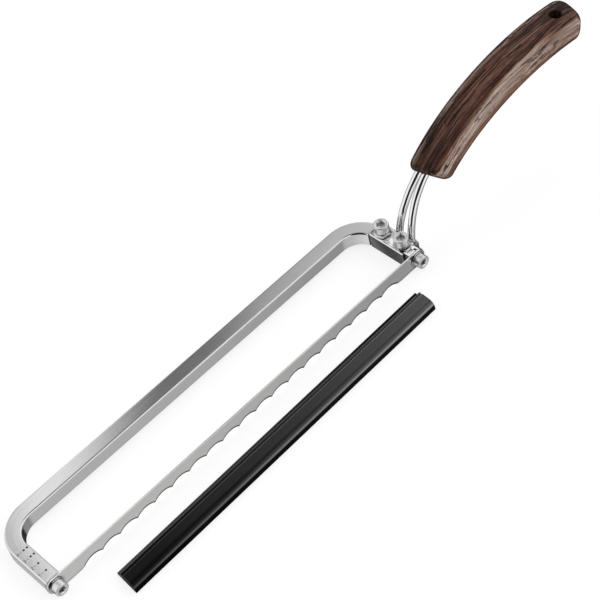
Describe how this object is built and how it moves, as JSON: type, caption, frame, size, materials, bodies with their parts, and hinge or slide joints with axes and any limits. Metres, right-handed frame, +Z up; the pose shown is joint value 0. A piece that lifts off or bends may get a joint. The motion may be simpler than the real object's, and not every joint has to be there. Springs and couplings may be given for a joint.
{
  "type": "uncapping knife",
  "caption": "Square-bar bow stretching a scalloped band blade, with a screwed clamp block, two bent rods to a curved wooden handle, and a loose channel guard for the blade.",
  "frame": {"origin": "middle of the underside of the straight spine of the bow", "axes": "+X along the spine from the tip leg towards the handle, +Y from the blade to the spine, +Z up; the knife lies flat with its cutting edge down and its handle rising"},
  "size_m": [0.4562, 0.0881, 0.0818],
  "materials": {
    "bow_steel": "brushed stainless bar with bright edges",
    "block_steel": "milled and lightly polished stainless",
    "blade_steel": "ground band with lengthwise grain",
    "screw_steel": "stainless fastener, turned",
    "rod_chrome": "polished bright round rod",
    "handle_wood": "dark walnut, oiled, satin",
    "guard_plastic": "black extruded plastic, satin"
  },
  "bodies": {
    "knife": {"bow_bar": "bow_steel", "clamp_block": "block_steel", "end_plate": "block_steel", "cutting_blade": "blade_steel", "tip_blade_washer": "screw_steel", "heel_blade_washer": "screw_steel", "clamp_flat_washer": "screw_steel", "clamp_spring_washer": "screw_steel", "spine_side_rod": "rod_chrome", "blade_side_rod": "rod_chrome", "handle": "handle_wood"},
    "tip_screw": {"tip_blade_screw": "screw_steel"},
    "heel_screw": {"heel_blade_screw": "screw_steel"},
    "lock_nut": {"adjuster_lock_nut": "screw_steel"},
    "adjuster": {"adjuster_screw": "screw_steel"},
    "clamp": {"clamp_screw": "screw_steel"},
    "guard": {"blade_guard": "guard_plastic"}
  },
  "joints": [
    {"name": "tip_screw_turn", "type": "hinge", "parent": "knife", "child": "tip_screw", "pos_m": [-0.1425, -0.05, 0.005], "axis": [0, -1, 0], "continuous": true},
    {"name": "heel_screw_turn", "type": "hinge", "parent": "knife", "child": "heel_screw", "pos_m": [0.142, -0.05, 0.005], "axis": [0, -1, 0], "continuous": true},
    {"name": "lock_nut_turn", "type": "hinge", "parent": "knife", "child": "lock_nut", "pos_m": [0.1418, -0.0207, 0.01125], "axis": [0, 0, 1], "continuous": true},
    {"name": "adjuster_turn", "type": "hinge", "parent": "knife", "child": "adjuster", "pos_m": [0.1418, -0.0207, 0.015], "axis": [0, 0, 1], "continuous": true},
    {"name": "clamp_turn", "type": "hinge", "parent": "knife", "child": "clamp", "pos_m": [0.1415, -0.0372, 0.015], "axis": [0, 0, 1], "continuous": true},
    {"name": "guard_lift_off", "type": "slide", "parent": "knife", "child": "guard", "axis": [0, -1, 0], "range_m": [0, 0.06]}
  ]
}
